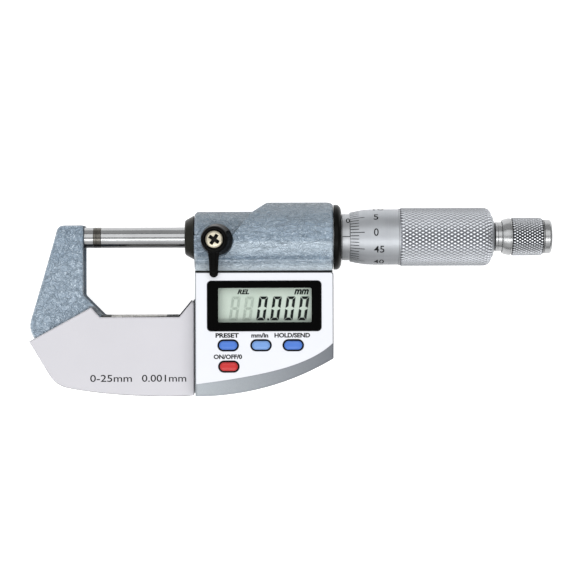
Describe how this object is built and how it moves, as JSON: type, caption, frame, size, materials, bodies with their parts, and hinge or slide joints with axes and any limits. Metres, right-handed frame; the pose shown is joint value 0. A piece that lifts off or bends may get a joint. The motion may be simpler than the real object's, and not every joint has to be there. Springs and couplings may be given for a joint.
{
  "type": "digital outside micrometer",
  "caption": "Digital outside micrometer: C-shaped frame with anvil, screw spindle with knurled thimble and ratchet stop, spindle lock lever, and a display housing with push buttons.",
  "frame": {"origin": "under the middle of the object, on the flat back of the display housing's rear cover, which is the face it lies on", "axes": "+X along the spindle from the anvil towards the ratchet, +Y from the bow of the frame up to the spindle, +Z out of the display"},
  "size_m": [0.1634, 0.0604, 0.0278],
  "materials": {
    "frame_paint": "blue-grey hammered enamel",
    "steel": "ground steel",
    "carbide": "lapped dark carbide",
    "satin_chrome": "satin chrome plate",
    "brass": "turned brass",
    "white_plastic": "satin off-white",
    "face_panel": "satin white film",
    "silver_plastic": "silver-grey, fine texture",
    "black_plastic": "semi-gloss black",
    "rubber": "matte black",
    "clear": "clear polished window",
    "lcd": "grey-green liquid crystal panel",
    "board": "green solder mask",
    "flex": "amber film",
    "nickel": "nickel plate",
    "button_blue": "gloss blue",
    "button_light_blue": "gloss light blue",
    "button_red": "gloss red"
  },
  "bodies": {
    "frame": {"frame": "frame_paint", "anvil": "steel", "anvil_tip": "carbide", "front_plate": "white_plastic", "back_plate": "white_plastic", "front_collar": "black_plastic", "spindle_seal": "rubber", "spindle_bushing": "brass", "encoder_stator": "board", "encoder_flex": "flex", "rotor_washer": "steel", "inner_sleeve": "steel", "scale_sleeve": "satin_chrome", "adjusting_nut": "steel", "rear_ring": "black_plastic", "front_shell": "silver_plastic", "front_label": "face_panel", "back_cover": "silver_plastic", "display_bezel": "black_plastic", "display_window": "clear", "lcd_holder": "black_plastic", "lcd_glass": "lcd", "zebra_strip": "rubber", "main_board": "board", "keypad_mat": "rubber", "board_screw_a": "steel", "board_screw_b": "steel", "case_screw_1": "nickel", "case_screw_2": "nickel", "case_screw_3": "nickel", "case_screw_4": "nickel", "data_port_plug": "rubber", "battery_cell": "steel", "battery_contact_negative": "brass", "battery_contact_positive": "brass", "lock_washer": "steel"},
    "encoder_rotor": {"rotor_hub": "brass", "rotor_disc": "board", "rotor_key": "steel"},
    "spindle": {"spindle": "steel", "spindle_tip": "carbide", "thimble": "satin_chrome", "ratchet_stem": "steel", "ratchet_spring": "steel", "ratchet_disc": "steel", "ratchet_screw": "steel"},
    "ratchet": {"ratchet_knob": "satin_chrome", "ratchet_end_cap": "satin_chrome"},
    "lock_lever": {"lock_lever": "black_plastic", "lock_bolt": "steel", "lock_screw": "nickel"},
    "lock_shoe": {"lock_shoe": "brass"},
    "zero_button": {"zero_button": "button_blue"},
    "unit_button": {"unit_button": "button_light_blue"},
    "hold_button": {"hold_button": "button_blue"},
    "power_button": {"power_button": "button_red"},
    "battery_cap": {"battery_cap": "silver_plastic", "battery_cap_seal": "rubber"}
  },
  "joints": [
    {"name": "thimble_turn", "type": "hinge", "parent": "frame", "child": "encoder_rotor", "pos_m": [-0.00385, 0.01925, 0.012], "axis": [1, 0, 0], "range_deg": [0, 18000]},
    {"name": "spindle_travel", "type": "slide", "parent": "encoder_rotor", "child": "spindle", "axis": [1, 0, 0], "range_m": [0, 0.025]},
    {"name": "ratchet_slip", "type": "hinge", "parent": "spindle", "child": "ratchet", "pos_m": [0.07275, 0.01925, 0.012], "axis": [1, 0, 0], "continuous": true},
    {"name": "lock_turn", "type": "hinge", "parent": "frame", "child": "lock_lever", "pos_m": [-0.02385, 0.01835, 0.024], "axis": [0, 0, 1], "range_deg": [0, 60]},
    {"name": "lock_press", "type": "slide", "parent": "frame", "child": "lock_shoe", "axis": [0, 0, -1], "range_m": [0, 0.00012]},
    {"name": "zero_button_press", "type": "slide", "parent": "frame", "child": "zero_button", "axis": [0, 0, -1], "range_m": [0, 0.0008], "stiffness_N_per_m": 800},
    {"name": "unit_button_press", "type": "slide", "parent": "frame", "child": "unit_button", "axis": [0, 0, -1], "range_m": [0, 0.0008], "stiffness_N_per_m": 800},
    {"name": "hold_button_press", "type": "slide", "parent": "frame", "child": "hold_button", "axis": [0, 0, -1], "range_m": [0, 0.0008], "stiffness_N_per_m": 800},
    {"name": "power_button_press", "type": "slide", "parent": "frame", "child": "power_button", "axis": [0, 0, -1], "range_m": [0, 0.0008], "stiffness_N_per_m": 800},
    {"name": "battery_cap_turn", "type": "hinge", "parent": "frame", "child": "battery_cap", "pos_m": [-0.01525, -0.01175, 0.0005], "axis": [0, 0, -1], "range_deg": [0, 60]}
  ],
  "couplings": [
    {"joint": "thimble_turn", "follows": "spindle_travel", "rad_per_m": 12566},
    {"joint": "lock_turn", "follows": "lock_press", "rad_per_m": 8726.6}
  ]
}
